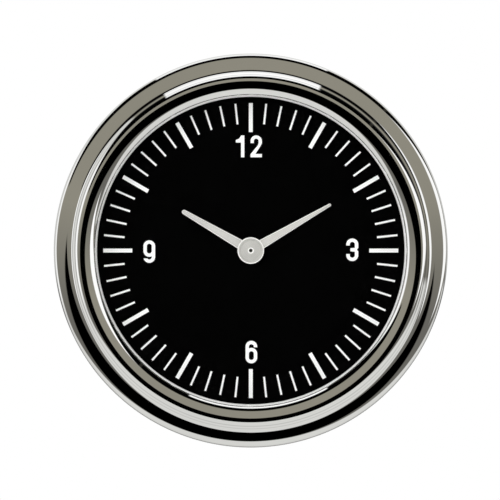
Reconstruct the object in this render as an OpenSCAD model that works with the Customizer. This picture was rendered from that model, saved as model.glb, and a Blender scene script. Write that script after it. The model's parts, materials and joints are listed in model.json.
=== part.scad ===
// Panel-mounted ship's clock, 52 mm instrument size.
// Face frame used by every module: x to the right, y up, z towards the reader,
// z = 0 on the panel's front face. place() stands the clock upright, facing -Y.

/* [Bezel] */
// Outer diameter of the bezel
bezel_d = 61; // [60.6:0.1:62]
// Height of the bezel's straight rim above the panel gasket
bezel_rim_h = 1.45; // [1.4:0.05:1.8]
// Sheet thickness of the spun bezel
bezel_t = 0.6; // [0.4:0.05:0.65]

/* [Case] */
// Outside diameter of the barrel that passes through the panel
barrel_d = 52; // [51.8:0.1:52.1]
// Wall thickness of the barrel
barrel_t = 0.8; // [0.6:0.1:0.8]
// Depth of the barrel behind the panel's front face
barrel_depth = 33.5; // [33:0.5:36]
// Thickness of the gasket under the bezel
panel_gasket_t = 1; // [1:0.1:1.2]

/* [Dial] */
// Visible diameter of the dial inside the trim ring
dial_opening_d = 47.72; // [47:0.1:48.2]
// Distance from the panel's front face back to the dial's face
dial_depth = 1; // [0.9:0.1:1.1]
// Outer radius of the minute and hour marks
mark_outer_r = 22.9; // [22.5:0.1:23.4]
// Length of a minute mark
minute_mark_l = 3.19; // [2.5:0.01:3.6]
// Width of a minute mark
minute_mark_w = 0.3; // [0.25:0.01:0.6]
// Length of an hour mark
hour_mark_l = 4.5; // [4:0.1:4.8]
// Width of an hour mark
hour_mark_w = 0.61; // [0.5:0.01:1]
// Height of the numerals
digit_h = 3.5; // [3:0.05:3.7]
// Width of the numerals
digit_w = 1.82; // [1.7:0.01:2.1]
// Stroke width of the numerals
digit_stroke = 0.53; // [0.4:0.01:0.7]

/* [Hands] */
// Length of the minute hand
minute_hand_l = 14.35; // [12:0.05:17]
// Length of the hour hand
hour_hand_l = 12.3; // [10:0.05:13]
// Clockwise angle of the minute hand from 12
minute_hand_angle = 60; // [0:1:359]
// Clockwise angle of the hour hand from 12
hour_hand_angle = 300; // [0:1:359]

/* [Mounting] */
// Thickness of the panel that the clamp is set for
panel_t = 6; // [5.5:0.5:7]
// Distance of each mounting stud from the middle
stud_x = 12; // [11.5:0.1:12.5]
// Diameter of the mounting studs and of the terminals
stud_d = 4; // [3.9:0.1:4]
// Distance from the panel's front face back to the studs' ends
stud_end = 57; // [56.8:0.1:60]

/* [Hidden] */
$fn = 96;
cut = 0.5;

// Bezel and case
bezel_r = bezel_d / 2;
barrel_r = barrel_d / 2;
barrel_in_r = barrel_r - barrel_t;
bezel_back = panel_gasket_t;
fold_in_r = barrel_r + 0.3;
gasket_in_r = barrel_r + 0.4;
gasket_out_r = bezel_r - 0.5;
flange_r = bezel_r - 1.3;
flange_t = 0.7;
flange_back = bezel_back + bezel_t;
flange_front = flange_back + flange_t;
case_back = -barrel_depth;
neck_r = barrel_r - 0.4;
neck_l = 0.2;
case_lip_r = 21;
ledge_r = 24;
ledge_t = 0.8;

// Lens and its rubber channel
seal_t = 0.3;
lens_back = flange_front + seal_t;
lens_t = 1.2;
lens_front = lens_back + lens_t;
lens_r = 26.6;
seal_r = 27.15;
seal_front = lens_front + 0.6;

// Dial stack
dial_front = -dial_depth;
dial_t = 0.5;
dial_r = barrel_in_r - 0.2;
dial_hole_r = 1.6;
carrier_t = 1.5;
carrier_front = dial_front - dial_t;
carrier_back = carrier_front - carrier_t;
mark_t = 0.05;
digit_reach = 15.76;
foot_r = 0.6;
foot_x = 20;

// Movement frame
front_plate_front = carrier_back - 4;
plate_t = 1;
front_plate_back = front_plate_front - plate_t;
back_plate_front = front_plate_back - 9.5;
back_plate_back = back_plate_front - plate_t;
plate_r = 19;
pillar_r = 1.5;
pillars = [[7, 15.6], [-15.6, 7.5], [-12, -12], [8.8, -14.6]];
bosses = [[16.4, 6], [-13.4, 11.2], [-5.2, -16.7]];
boss_r = 1.8;
screw_shank_r = 0.7;
screw_head_r = 1.4;
screw_head_h = 0.8;
tapped_r = 0.75;
tapped_depth = 3;

// Gear teeth: module, tooth counts and the form of a tooth
hand_module = 0.3;
hour_module = 0.288;
slow_module = 0.18;
fast_module = 0.16;
cannon_teeth = 12;
minute_wheel_teeth = 36;
minute_pinion_teeth = 10;
hour_teeth = 40;
pinion_teeth = 10;
centre_teeth = 80;
third_teeth = 75;
fourth_teeth = 60;
fifth_teeth = 50;
wheel_addendum = 0.95;
pinion_addendum = 0.7;
dedendum = 1.35;
wheel_tooth_w = 0.42;
pinion_tooth_w = 0.36;
wheel_tip_w = 0.35;
pinion_tip_w = 0.4;

// Arbors
arbor_r = 0.35;
shaft_gap = 0.05;
minute_arbor_r = 0.7;
minute_tip_r = 0.62;
set_stem_r = 0.8;
post_r = 0.4;
hour_pipe_in_r = minute_arbor_r + shaft_gap;
hour_pipe_r = 1.25;

// Places of the wheels, each at its centre distance from the one before
function mesh_distance(a, b, m) = (a + b) * m / 2;
function polar(r, a) = [r * cos(a), r * sin(a)];
function bearing(p, q) = atan2(q[1] - p[1], q[0] - p[0]);
// Bearing, seen from the middle, of a wheel r_q out that is d away from one r_p out at a_p
function next_bearing(a_p, r_p, r_q, d) =
    a_p - acos((r_p * r_p + r_q * r_q - d * d) / (2 * r_p * r_q));
centre = [0, 0];
minute_wheel_at = [0, -mesh_distance(minute_wheel_teeth, cannon_teeth, hand_module)];
set_stem_at = 2 * minute_wheel_at;
third_reach = mesh_distance(centre_teeth, pinion_teeth, slow_module);
third_bearing = 150;
third_at = polar(third_reach, third_bearing);
fourth_reach = 9;
fourth_bearing = next_bearing(third_bearing, third_reach, fourth_reach,
    mesh_distance(third_teeth, pinion_teeth, fast_module));
fourth_at = polar(fourth_reach, fourth_bearing);
fifth_reach = 9.6;
fifth_bearing = next_bearing(fourth_bearing, fourth_reach, fifth_reach,
    mesh_distance(fourth_teeth, pinion_teeth, slow_module));
fifth_at = polar(fifth_reach, fifth_bearing);
rotor_reach = 10.5;
rotor_at = polar(rotor_reach, next_bearing(fifth_bearing, fifth_reach, rotor_reach,
    mesh_distance(fifth_teeth, pinion_teeth, fast_module)));

// Depths of the wheels' front faces
wheel_t = 0.4;
pinion_t = 0.8;
hour_wheel_z = carrier_back - 0.6;
minute_wheel_z = carrier_back - 2.6;
set_pinion_z = carrier_back - 2.4;
centre_wheel_z = front_plate_back - 1.2;
third_wheel_z = front_plate_back - 3.6;
fourth_wheel_z = front_plate_back - 5.8;
fifth_wheel_z = front_plate_back - 7.8;

// Stepper motor
magnet_r = 2.6;
magnet_front = front_plate_back - 3;
magnet_h = 2;
stator_front = front_plate_back - 3.6;
stator_t = 0.8;
stator_in_r = 3.2;
stator_out_r = 4;
coil_x = 13;
coil_r = 2.6;
coil_top = -0.2;
coil_bottom = -9.6;
core_w = 2.4;
core_top = 3.4;
core_bottom = -12.9;
stator_fixings = [[coil_x, 2.3], [coil_x, -11.7]];

// Circuit board
board_front = back_plate_back - 1.3;
board_t = 0.8;
board_back = board_front - board_t;
board_r = 17.5;
board_holes = [[-14, 2], [14, 2]];

// Rear cover and what passes through it
rear_seal_t = 0.6;
cover_front = case_back - rear_seal_t;
cover_t = 2.5;
cover_back = cover_front - cover_t;
cover_r = barrel_r - 0.6;
cover_screw_ring = 22.9;
cover_screw_angles = [30, 150, 270];
stud_r = stud_d / 2;
stud_hole_gap = 0.05;
terminals = [[13, 12], [-13, 12]];
studs = [[stud_x, 0], [-stud_x, 0]];
terminal_end = -50;
lamp_at = [0, 15.5];
lamp_r = 4.3;

// Terminal hardware, front to back
insulator_t = 0.8;
clamp_nut_h = 2.4;
washer_t = 0.6;
hex_r = 4;

// Clamp bracket
strap_w = 12;
strap_t = 1.2;
bend_r = 1;
leg_x = 27.3;
foot_reach = 2.4;
strap_front = -42.5;
foot_front = -panel_t;
clamp_washer_t = 0.8;
thumb_nut_h = 5;
thumb_nut_r = 5.5;

// Set knob
knob_r = 4.5;
knob_front = cover_back - 1.2;
knob_h = 4.2;

// ---- shared shapes ----

module place() {
    rotate([90, 0, 0]) children();
}

// A washer-like ring from z0 up to z1
module ring(r_out, r_in, z0, z1) {
    rotate_extrude() polygon([[r_in, z0], [r_out, z0], [r_out, z1], [r_in, z1]]);
}

// A round bar from z0 up to z1 standing at p
module bar(p, r, z0, z1) {
    translate([p[0], p[1], z0]) cylinder(r = r, h = z1 - z0);
}

// A drill that runs past both faces
module drill(p, r, z0, z1) {
    bar(p, r, z0 - cut, z1 + cut);
}

// Outline of a gear: root, flank and tip points for each tooth
function tooth(r_pitch, r_tip, r_root, half, tip, a) = [
    polar(r_root, a - 1.05 * half),
    polar(r_pitch, a - half),
    polar(r_tip, a - tip * half),
    polar(r_tip, a + tip * half),
    polar(r_pitch, a + half),
    polar(r_root, a + 1.05 * half)
];
function gear_outline(teeth, m, addendum, width, tip, phase) = [
    for (i = [0 : teeth - 1])
        each tooth(teeth * m / 2, (teeth / 2 + addendum) * m, (teeth / 2 - dedendum) * m,
            180 * width / teeth, tip, phase + i * 360 / teeth)
];

// A wheel's gap, or a pinion's tooth, points along the bearing given
module wheel_teeth(teeth, m, gap_at, z_front, t) {
    translate([0, 0, z_front - t]) linear_extrude(t)
        polygon(gear_outline(teeth, m, wheel_addendum, wheel_tooth_w, wheel_tip_w,
            gap_at + 180 / teeth));
}
module pinion(teeth, m, tooth_at, z_front, t) {
    translate([0, 0, z_front - t]) linear_extrude(t)
        polygon(gear_outline(teeth, m, pinion_addendum, pinion_tooth_w, pinion_tip_w, tooth_at));
}

// Round windows that leave a wheel with spokes
module wheel_windows(r_mid, r, count, z_front, t) {
    for (i = [0 : count - 1])
        rotate(i * 360 / count) drill([r_mid, 0], r, z_front - t, z_front);
}

// A driven pinion and the wheel behind it on one arbor between the plates
module train_wheel(at, before, after, teeth, m_in, m_out, z_in, z_out) {
    translate([at[0], at[1], 0]) {
        bar([0, 0], arbor_r, back_plate_back, front_plate_front);
        pinion(pinion_teeth, m_in, bearing(at, before), z_in + 0.2, pinion_t);
        difference() {
            wheel_teeth(teeth, m_out, bearing(at, after), z_out, wheel_t);
            wheel_windows(teeth * m_out * 0.29, teeth * m_out * 0.11, 5, z_out, wheel_t);
        }
    }
}

// A screw or nut head with straight knurls
module knurled(r, ribs, depth, z0, z1) {
    translate([0, 0, z0]) linear_extrude(z1 - z0)
        polygon([for (i = [0 : 2 * ribs - 1]) polar(r - (i % 2) * depth, i * 180 / ribs)]);
}

module hex(r, z0, z1) {
    translate([0, 0, z0]) cylinder(r = r, h = z1 - z0, $fn = 6);
}

// A pan-head screw that points forwards from the rear, head bottom at z
module pan_screw(p, shank_r, head_r, head_h, z, length) {
    difference() {
        union() {
            bar(p, shank_r, z, z + length);
            bar(p, head_r, z - head_h, z);
        }
        translate([p[0] - head_r, p[1] - 0.15 * head_r, z - head_h - cut])
            cube([2 * head_r, 0.3 * head_r, cut + head_h * 0.45]);
    }
}

// ---- bezel, lens and case ----

// Sections of the spun bezel from its rim inwards: slope at the start, slope at
// the end (degrees above the flat, falling slopes negative) and radius of the arc
bezel_arcs = [
    [90, 39, 0.753],
    [39, 16, 4.97],
    [16, 31, -1.5],
    [31, 34, -6],
    [34, 42, -2.5],
    [42, 44, -9],
    [44, 34, 5.4],
    [34, 0, 0.864],
    [0, -20, 1.9],
    [-20, -34, 2.81],
    [-34, -43, 5.7]
];
arc_steps = 6;
function arc_move(arc, s) = [
    arc[2] * (sin(s) - sin(arc[0])),
    arc[2] * (cos(s) - cos(arc[0]))
];
function slope_at(arc, i) = arc[0] + (arc[1] - arc[0]) * i / arc_steps;
// Start point of each section, found by walking along the ones before it
function arc_start(i) = i == 0
    ? [bezel_r, bezel_back + bezel_rim_h]
    : arc_start(i - 1) + arc_move(bezel_arcs[i - 1], bezel_arcs[i - 1][1]);
// The skin set in by depth along the normal
function bezel_skin(depth) = [
    for (i = [0 : len(bezel_arcs) - 1])
        for (k = [i == 0 ? 0 : 1 : arc_steps])
            let (arc = bezel_arcs[i], s = slope_at(arc, k))
                arc_start(i) + arc_move(arc, s) - depth * [sin(s), cos(s)]
];
function reversed(list) = [for (i = [len(list) - 1 : -1 : 0]) list[i]];

module bezel() {
    color("silver") place() rotate_extrude($fn = 180) polygon(concat(
        [[fold_in_r, bezel_back], [bezel_r, bezel_back]],
        bezel_skin(0),
        reversed(bezel_skin(bezel_t)),
        [[bezel_r - bezel_t, flange_back], [fold_in_r, flange_back]]
    ));
}

module panel_gasket() {
    color("#202020") place() ring(gasket_out_r, gasket_in_r, 0, panel_gasket_t);
}

module case() {
    lip_front = case_back + barrel_t;
    ledge_front = carrier_back;
    color("lightgray") place() difference() {
        rotate_extrude() polygon([
            [barrel_in_r, flange_front], [flange_r, flange_front], [flange_r, flange_back],
            [neck_r, flange_back], [neck_r, -neck_l], [barrel_r, -neck_l],
            [barrel_r, case_back], [case_lip_r, case_back],
            [case_lip_r, lip_front], [barrel_in_r, lip_front],
            [barrel_in_r, ledge_front - ledge_t], [ledge_r, ledge_front - ledge_t],
            [ledge_r, ledge_front], [barrel_in_r, ledge_front]
        ]);
        for (a = cover_screw_angles)
            drill(polar(cover_screw_ring, a), 1.05, case_back, lip_front);
    }
}

module lens_gasket() {
    color("#181818") place() rotate_extrude() polygon([
        [barrel_in_r + 0.1, flange_front], [seal_r, flange_front], [seal_r, seal_front - 0.5],
        [seal_r - 0.5, seal_front], [barrel_in_r + 0.35, seal_front],
        [barrel_in_r + 0.1, lens_front], [lens_r, lens_front], [lens_r, lens_back],
        [barrel_in_r + 0.1, lens_back]
    ]);
}

module lens() {
    color("aliceblue", 0.3) place() bar([0, 0], lens_r, lens_back, lens_front);
}

module trim_ring() {
    opening_r = dial_opening_d / 2;
    top = lens_back - 0.05;
    color("silver") place() rotate_extrude() polygon([
        [opening_r, dial_front], [dial_r, dial_front], [dial_r, top],
        [opening_r + 0.35, top], [opening_r, top - 0.35]
    ]);
}

// ---- dial ----

module dial() {
    color("#101010") place() ring(dial_r, dial_hole_r, dial_front - dial_t, dial_front);
}

module mark(l, w) {
    translate([mark_outer_r - l, -w / 2, dial_front]) cube([l, w, mark_t]);
}

module minute_marks() {
    color("white") place()
        for (i = [0 : 59]) if (i % 5 != 0) rotate(6 * i) mark(minute_mark_l, minute_mark_w);
}

module hour_marks() {
    color("white") place()
        for (i = [0 : 11]) rotate(30 * i) mark(hour_mark_l, hour_mark_w);
}

// A closed round-ended loop of the stroke width, as tall as h, base at y = 0
module loop(w, h, stroke) {
    difference() {
        rounded(w, h, w / 2);
        translate([0, stroke]) rounded(w - 2 * stroke, h - 2 * stroke, w / 2 - stroke);
    }
}
module rounded(w, h, r) {
    translate([-w / 2, r]) square([w, h - 2 * r]);
    for (y = [r, h - r]) translate([0, y]) circle(r = r);
}

// Half of a loop's end: the arch over (or, turned, under) a stroke
module arch(w, stroke) {
    difference() {
        circle(r = w / 2);
        circle(r = w / 2 - stroke);
        translate([-w, -2 * w]) square([2 * w, 2 * w]);
    }
}

module digit_one() {
    s = digit_stroke;
    translate([0.05, -digit_h / 2]) square([s, digit_h]);
    polygon([[0.06, digit_h / 2], [0.06, digit_h / 2 - 1.15], [-0.75, digit_h / 2 - 1.15],
        [-0.75, digit_h / 2 - 0.72], [-0.22, digit_h / 2 - 0.5], [0.05, digit_h / 2]]);
}

module digit_two() {
    s = digit_stroke;
    r = digit_w / 2;
    neck = digit_h / 2 - r;
    base = -digit_h / 2;
    translate([0, neck]) arch(digit_w, s);
    translate([-r, neck - 0.32]) square([s, 0.33]);
    polygon([[r, neck + 0.01], [r, neck - 0.35], [r - 0.22, neck - 0.8], [-r + 0.78, base + s - 0.01],
        [-r, base + s - 0.01], [-r, base + 0.5], [r - s - 0.12, neck - 0.68], [r - s, neck - 0.3],
        [r - s, neck + 0.01]]);
    translate([-r, base]) square([digit_w, s]);
}

module digit_three() {
    s = digit_stroke;
    r = digit_w / 2;
    for (flip = [0, 1]) mirror([0, flip]) {
        translate([0, digit_h / 2 - r]) arch(digit_w, s);
        translate([-r, digit_h / 2 - r - 0.18]) square([s, 0.19]);
        translate([r - s, 0.3]) square([s, digit_h / 2 - r - 0.29]);
        polygon([[r, 0.31], [r - 0.22, 0], [-r + 0.62, 0], [-r + 0.62, 0.24], [r - s, 0.31]]);
    }
}

// The hook ends above or below the middle of its arch by the amount given
module digit_six(bowl_h, hook_end) {
    s = digit_stroke;
    r = digit_w / 2;
    base = -digit_h / 2;
    translate([0, base]) loop(digit_w, bowl_h, s);
    translate([-r, base + r]) square([s, digit_h - 2 * r]);
    difference() {
        translate([0, -base - r]) arch(digit_w, s);
        if (hook_end > 0) translate([0, -base - r - 0.1]) square([digit_w, hook_end + 0.1]);
    }
    if (hook_end < 0) translate([r - s, -base - r + hook_end]) square([s, 0.01 - hook_end]);
}

module printed(p) {
    translate([p[0], p[1], dial_front]) linear_extrude(mark_t) children();
}

module numerals() {
    pair_gap = 1.24;
    pair_h = 0.97;
    color("white") place() {
        printed([-pair_gap - 0.33, digit_reach + 0.42]) scale([1, pair_h]) digit_one();
        printed([pair_gap - 0.4, digit_reach + 0.42]) scale([pair_h, pair_h]) digit_two();
        printed([digit_reach, 0.12]) scale([1.03, 1]) digit_three();
        printed([0.09, -digit_reach]) digit_six(2.4, -0.1);
        printed([-digit_reach, -0.16]) rotate(180) digit_six(2.56, 0.22);
    }
}

module dial_feet() {
    color("goldenrod") place()
        for (x = [-foot_x, foot_x]) bar([x, 0], foot_r, carrier_back - 0.6, carrier_front);
}

module dial_carrier() {
    color("#303030") place() {
        difference() {
            bar([0, 0], dial_r + 0.1, carrier_back, carrier_front);
            drill([0, 0], dial_hole_r, carrier_back, carrier_front);
            for (x = [-foot_x, foot_x]) drill([x, 0], foot_r, carrier_back, carrier_front);
        }
        for (p = bosses) difference() {
            bar(p, boss_r, front_plate_front, carrier_back);
            bar(p, tapped_r, front_plate_front - cut, carrier_back - 0.2);
        }
    }
}

// ---- hands and motion work ----

// A tapered hand pointing along +y with a round tip
module hand_outline(length, root_w, tip_w) {
    tip_r = tip_w / 2;
    polygon([[-root_w / 2, 0], [root_w / 2, 0], [tip_r, length - tip_r], [-tip_r, length - tip_r]]);
    translate([0, length - tip_r]) circle(r = tip_r);
}

module hour_hand() {
    back = dial_front + 0.7;
    thick = 0.4;
    color("gainsboro") place() rotate(-hour_hand_angle) difference() {
        union() {
            translate([0, 0, back]) linear_extrude(thick) hand_outline(hour_hand_l, 1.66, 0.73);
            bar([0, 0], 1.95, back, back + thick);
        }
        drill([0, 0], hour_pipe_r, back, back + thick);
    }
}

module hour_wheel() {
    color("goldenrod") place() difference() {
        union() {
            wheel_teeth(hour_teeth, hour_module, -90, hour_wheel_z, 0.6);
            bar([0, 0], hour_pipe_r, carrier_back - 2, dial_front + 1.1);
        }
        drill([0, 0], hour_pipe_in_r, carrier_back - 2, dial_front + 1.1);
        wheel_windows(3.3, 1.2, 6, hour_wheel_z, 0.6);
    }
}

module minute_hand() {
    back = dial_front + 1.5;
    front = back + 0.4;
    hub_r = 2.06;
    color("gainsboro") place() rotate(-minute_hand_angle) difference() {
        union() {
            translate([0, 0, back]) linear_extrude(front - back)
                hand_outline(minute_hand_l, 1.62, 0.46);
            bar([0, 0], hub_r, back, front);
            ring(hub_r, hub_r - 0.34, front, front + 0.22);
            ring(1, minute_tip_r, front, front + 0.12);
        }
        drill([0, 0], minute_tip_r, back, front + 0.22);
    }
}

module minute_arbor() {
    tip = dial_front + 2.2;
    shoulder = dial_front + 1.5;
    color("silver") place() difference() {
        union() {
            bar([0, 0], minute_arbor_r, back_plate_back, shoulder);
            bar([0, 0], minute_tip_r, shoulder, tip);
            pinion(cannon_teeth, hand_module, -90, set_pinion_z, 1);
            bar([0, 0], 1.5, centre_wheel_z - 2.4, centre_wheel_z - 1.8);
        }
        bar([0, 0], minute_tip_r / 2, tip - 1.2, tip + cut);
    }
}

module clutch_washer() {
    color("gold") place() difference() {
        bar([0, 0], 2.2, centre_wheel_z - 1.8, centre_wheel_z - 1.5);
        drill([0, 0], minute_arbor_r, centre_wheel_z - 1.8, centre_wheel_z - 1.5);
        for (a = [0, 120, 240]) rotate(a) drill([2.2, 0], 0.6, centre_wheel_z - 1.8, centre_wheel_z);
    }
}

module minute_wheel_post() {
    color("silver") place() bar(minute_wheel_at, post_r, front_plate_back, carrier_back - 0.1);
}

module minute_wheel() {
    pinion_front = hour_wheel_z + 0.2;
    color("goldenrod") place() translate([minute_wheel_at[0], minute_wheel_at[1], 0]) difference() {
        union() {
            wheel_teeth(minute_wheel_teeth, hand_module, 90, minute_wheel_z, 0.6);
            pinion(minute_pinion_teeth, hour_module, 90, pinion_front, pinion_front - minute_wheel_z);
        }
        drill([0, 0], post_r + shaft_gap, minute_wheel_z - 0.6, pinion_front);
    }
}

module set_stem() {
    color("silver") place() translate([set_stem_at[0], set_stem_at[1], 0]) {
        bar([0, 0], set_stem_r, knob_front - knob_h + 0.8, set_pinion_z);
        pinion(cannon_teeth, hand_module, 90, set_pinion_z, 1);
    }
}

module set_knob() {
    color("#282828") place() translate([set_stem_at[0], set_stem_at[1], 0]) difference() {
        union() {
            knurled(knob_r, 30, 0.35, knob_front - knob_h, knob_front - 0.8);
            bar([0, 0], 2.4, knob_front - 0.8, knob_front);
        }
        bar([0, 0], set_stem_r, knob_front - knob_h + 0.8, knob_front + cut);
        bar([0, 0], 2.6, knob_front - knob_h - cut, knob_front - knob_h + 0.4);
    }
}

// ---- movement frame ----

module plate_bores(z0, z1) {
    drill(centre, minute_arbor_r + shaft_gap, z0, z1);
    drill(set_stem_at, set_stem_r + shaft_gap, z0, z1);
    for (p = [third_at, fourth_at, fifth_at, rotor_at]) drill(p, arbor_r + shaft_gap, z0, z1);
}

module front_plate() {
    tenon_r = 0.8;
    color("goldenrod") place() difference() {
        bar([0, 0], plate_r, front_plate_back, front_plate_front);
        plate_bores(front_plate_back, front_plate_front);
        drill(minute_wheel_at, post_r, front_plate_back, front_plate_front);
        for (p = bosses) drill(p, tapped_r, front_plate_back, front_plate_front);
        for (p = pillars) drill(p, tenon_r, front_plate_back, front_plate_front);
    }
}

module back_plate() {
    color("goldenrod") place() difference() {
        bar([0, 0], plate_r, back_plate_back, back_plate_front);
        plate_bores(back_plate_back, back_plate_front);
        for (p = concat(pillars, board_holes)) drill(p, tapped_r, back_plate_back, back_plate_front);
    }
}

module pillars() {
    tenon_r = 0.8;
    color("gold") place() for (p = pillars) difference() {
        union() {
            bar(p, pillar_r, back_plate_front, front_plate_back);
            bar(p, tenon_r, front_plate_back, front_plate_front);
        }
        bar(p, tapped_r, back_plate_front - cut, back_plate_front + tapped_depth);
    }
}

module plate_screws() {
    color("silver") place() for (p = pillars)
        pan_screw(p, screw_shank_r, screw_head_r, screw_head_h, back_plate_back, plate_t + 2.5);
}

module carrier_screws() {
    color("silver") place() for (p = bosses)
        pan_screw(p, screw_shank_r, screw_head_r, screw_head_h, front_plate_back, plate_t + 3);
}

// ---- going train ----

module centre_wheel() {
    color("goldenrod") place() difference() {
        union() {
            wheel_teeth(centre_teeth, slow_module, bearing(centre, third_at), centre_wheel_z, wheel_t);
            bar([0, 0], 1.6, centre_wheel_z - 1, centre_wheel_z + 0.7);
        }
        drill([0, 0], minute_arbor_r + shaft_gap, centre_wheel_z - 1, centre_wheel_z + 0.7);
        wheel_windows(4.4, 1.5, 6, centre_wheel_z, wheel_t);
    }
}

module third_wheel() {
    color("goldenrod") place() train_wheel(third_at, centre, fourth_at, third_teeth,
        slow_module, fast_module, centre_wheel_z, third_wheel_z);
}

module fourth_wheel() {
    color("goldenrod") place() train_wheel(fourth_at, third_at, fifth_at, fourth_teeth,
        fast_module, slow_module, third_wheel_z, fourth_wheel_z);
}

module fifth_wheel() {
    color("goldenrod") place() train_wheel(fifth_at, fourth_at, rotor_at, fifth_teeth,
        slow_module, fast_module, fourth_wheel_z, fifth_wheel_z);
}

module rotor_pinion() {
    color("ivory") place() translate([rotor_at[0], rotor_at[1], 0]) {
        bar([0, 0], arbor_r, back_plate_back, front_plate_front);
        bar([0, 0], 0.9, magnet_front - magnet_h - 0.3, magnet_front);
        pinion(pinion_teeth, fast_module, bearing(rotor_at, fifth_at), fifth_wheel_z + 0.2, pinion_t);
    }
}

module rotor_magnet() {
    color("dimgray") place() translate([rotor_at[0], rotor_at[1], 0])
        ring(magnet_r, 0.9, magnet_front - magnet_h, magnet_front);
}

// ---- stepper motor ----

// Two pole pieces that face the magnet across a slit and reach the coil's core
module stator() {
    z0 = stator_front - stator_t;
    slit = 0.4;
    leg_x0 = 4.6;
    leg_x1 = 6.4;
    arm_y0 = core_bottom;
    arm_y1 = core_bottom + 2.4;
    color("gray") place() difference() {
        union() {
            bar(rotor_at, stator_out_r, z0, stator_front);
            translate([leg_x0, arm_y0, z0]) cube([leg_x1 - leg_x0, rotor_at[1] - arm_y0 - 2, stator_t]);
            translate([leg_x0, arm_y0, z0]) cube([coil_x + 1.2 - leg_x0, arm_y1 - arm_y0, stator_t]);
            translate([rotor_at[0] + 2, 1.1, z0]) cube([coil_x + 1.2 - rotor_at[0] - 2, 3.4, stator_t]);
        }
        drill(rotor_at, stator_in_r, z0, stator_front);
        translate([rotor_at[0] - slit / 2, rotor_at[1] - 8, z0 - cut])
            cube([slit, 16, stator_t + 2 * cut]);
        for (p = stator_fixings) drill(p, 0.6, z0, stator_front);
        translate([leg_x1 + 0.001, arm_y1 + 0.001, z0 - cut])
            cube([rotor_at[0] - leg_x1, 0.9 - arm_y1, stator_t + 2 * cut]);
    }
}

module stator_posts() {
    color("silver") place() for (p = stator_fixings) {
        bar(p, 1, stator_front, front_plate_back);
        bar(p, 0.6, stator_front - 2 * stator_t, stator_front);
    }
}

module coil_core() {
    front = stator_front - stator_t;
    color("gray") place() difference() {
        translate([coil_x - core_w / 2, core_bottom, front - stator_t])
            cube([core_w, core_top - core_bottom, stator_t]);
        for (p = stator_fixings) drill(p, 0.6, front - stator_t, front);
    }
}

module coil() {
    mid_z = stator_front - 1.5 * stator_t;
    color("sienna") place() difference() {
        translate([coil_x, coil_top, mid_z]) rotate([90, 0, 0])
            cylinder(r = coil_r, h = coil_top - coil_bottom);
        translate([coil_x - core_w / 2, coil_bottom - cut, mid_z - stator_t / 2])
            cube([core_w, coil_top - coil_bottom + 2 * cut, stator_t]);
    }
}

// ---- circuit board ----

module circuit_board() {
    cut_x = 3;
    color("darkgreen") place() difference() {
        bar([0, 0], board_r, board_back, board_front);
        translate([-cut_x, -board_r - cut, board_back - cut])
            cube([2 * cut_x, board_r - 11 + cut, board_t + 2 * cut]);
        for (p = board_holes) drill(p, tapped_r, board_back, board_front);
    }
}

module board_spacers() {
    color("silver") place() for (p = board_holes) translate([p[0], p[1], 0])
        ring(1.3, tapped_r, board_front, back_plate_back);
}

module board_screws() {
    grip = back_plate_back - board_back;
    color("silver") place() for (p = board_holes)
        pan_screw(p, screw_shank_r, screw_head_r, screw_head_h, board_back, grip + plate_t);
}

module chip() {
    color("#202020") place() {
        translate([-8, -7, board_back - 1.5]) cube([5, 4, 1.3]);
        for (i = [0 : 3]) for (y = [-7.8, -3])
            translate([-7.7 + 1.27 * i, y, board_back - 0.9]) cube([0.4, 0.8, 0.9]);
    }
}

module crystal() {
    can_r = 1.5;
    color("silver") place() {
        translate([2, 6, board_back - can_r - 0.1]) rotate([0, 90, 0]) cylinder(r = can_r, h = 8);
        for (y = [5.5, 6.5]) translate([0.9, y - 0.15, board_back - can_r - 0.25])
            cube([1.1, 0.3, can_r + 0.25]);
    }
}

module capacitor() {
    can_r = 3.15;
    color("#203060") place() bar([8.5, -5.5], can_r, board_back - 7, board_back);
}

// Sprung strips from the terminals' heads forward to the board
module contact_strips() {
    head_front = cover_front + 1.5;
    strip_t = 0.4;
    color("gold") place() for (p = terminals) {
        side = sign(p[0]);
        inner = p[0] - side * 3.6;
        translate([min(inner, p[0] + side * 2), p[1] - 2, head_front])
            cube([5.6, 4, strip_t]);
        translate([inner - (side > 0 ? 0 : strip_t), p[1] - 1.5, head_front])
            cube([strip_t, 3, board_back - head_front]);
    }
}

// ---- rear of the case ----

module rear_seal() {
    color("#202020") place() difference() {
        ring(cover_r, case_lip_r, cover_front, case_back);
        for (a = cover_screw_angles)
            drill(polar(cover_screw_ring, a), 1.05, cover_front, case_back);
    }
}

module rear_cover() {
    mark_l = 3;
    mark_w = 0.7;
    mark_h = 0.4;
    color("#282828") place() {
        difference() {
            rotate_extrude() polygon([
                [0, cover_front], [cover_r, cover_front], [cover_r, cover_back + 1],
                [cover_r - 1, cover_back], [0, cover_back]
            ]);
            for (a = cover_screw_angles)
                drill(polar(cover_screw_ring, a), 1.1, cover_back, cover_front);
            for (p = concat(studs, terminals))
                drill(p, stud_r + stud_hole_gap, cover_back, cover_front);
            drill(lamp_at, lamp_r + 0.05, cover_back, cover_front);
            drill(set_stem_at, set_stem_r + shaft_gap, cover_back, cover_front);
        }
        // Plus beside the right-hand terminal, minus beside the left-hand one
        for (s = [-1, 1]) translate([s * 6.9 - mark_l / 2, 12 - mark_w / 2, cover_back - mark_h])
            cube([mark_l, mark_w, mark_h + 0.1]);
        translate([6.9 - mark_w / 2, 12 - mark_l / 2, cover_back - mark_h])
            cube([mark_w, mark_l, mark_h + 0.1]);
    }
}

module cover_screws() {
    color("silver") place() for (a = cover_screw_angles)
        pan_screw(polar(cover_screw_ring, a), 1, 1.5, 1.1, cover_back, 4);
}

// ---- terminals and lamp ----

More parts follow.
